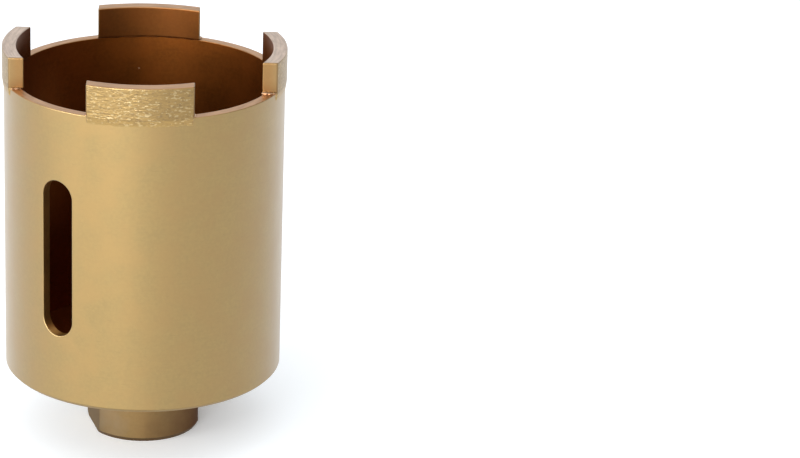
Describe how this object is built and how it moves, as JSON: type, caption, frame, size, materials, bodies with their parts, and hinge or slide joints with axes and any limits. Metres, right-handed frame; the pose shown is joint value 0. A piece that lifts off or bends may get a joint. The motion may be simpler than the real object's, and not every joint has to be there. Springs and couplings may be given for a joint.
{
  "type": "diamond core bit",
  "caption": "Short dry core bit: a thin slotted steel cup with arc-shaped diamond segments on its rim and a threaded hub with spanner flats.",
  "frame": {"origin": "centre of the hub's end face, which the bit stands on", "axes": "+Z along the bit's axis, from the hub towards the cutting rim; -Y through the middle of the first segment"},
  "size_m": [0.068, 0.068, 0.0974],
  "materials": {
    "barrel_paint": "satin gold lacquer over turned steel",
    "hub_paint": "satin gold lacquer over turned steel",
    "segment_metal": "gold lacquer over ground metal and diamond grit"
  },
  "bodies": {
    "root": {"barrel": "barrel_paint", "flanged_hub": "hub_paint", "segment_1": "segment_metal", "segment_2": "segment_metal", "segment_3": "segment_metal", "segment_4": "segment_metal"}
  },
  "joints": []
}
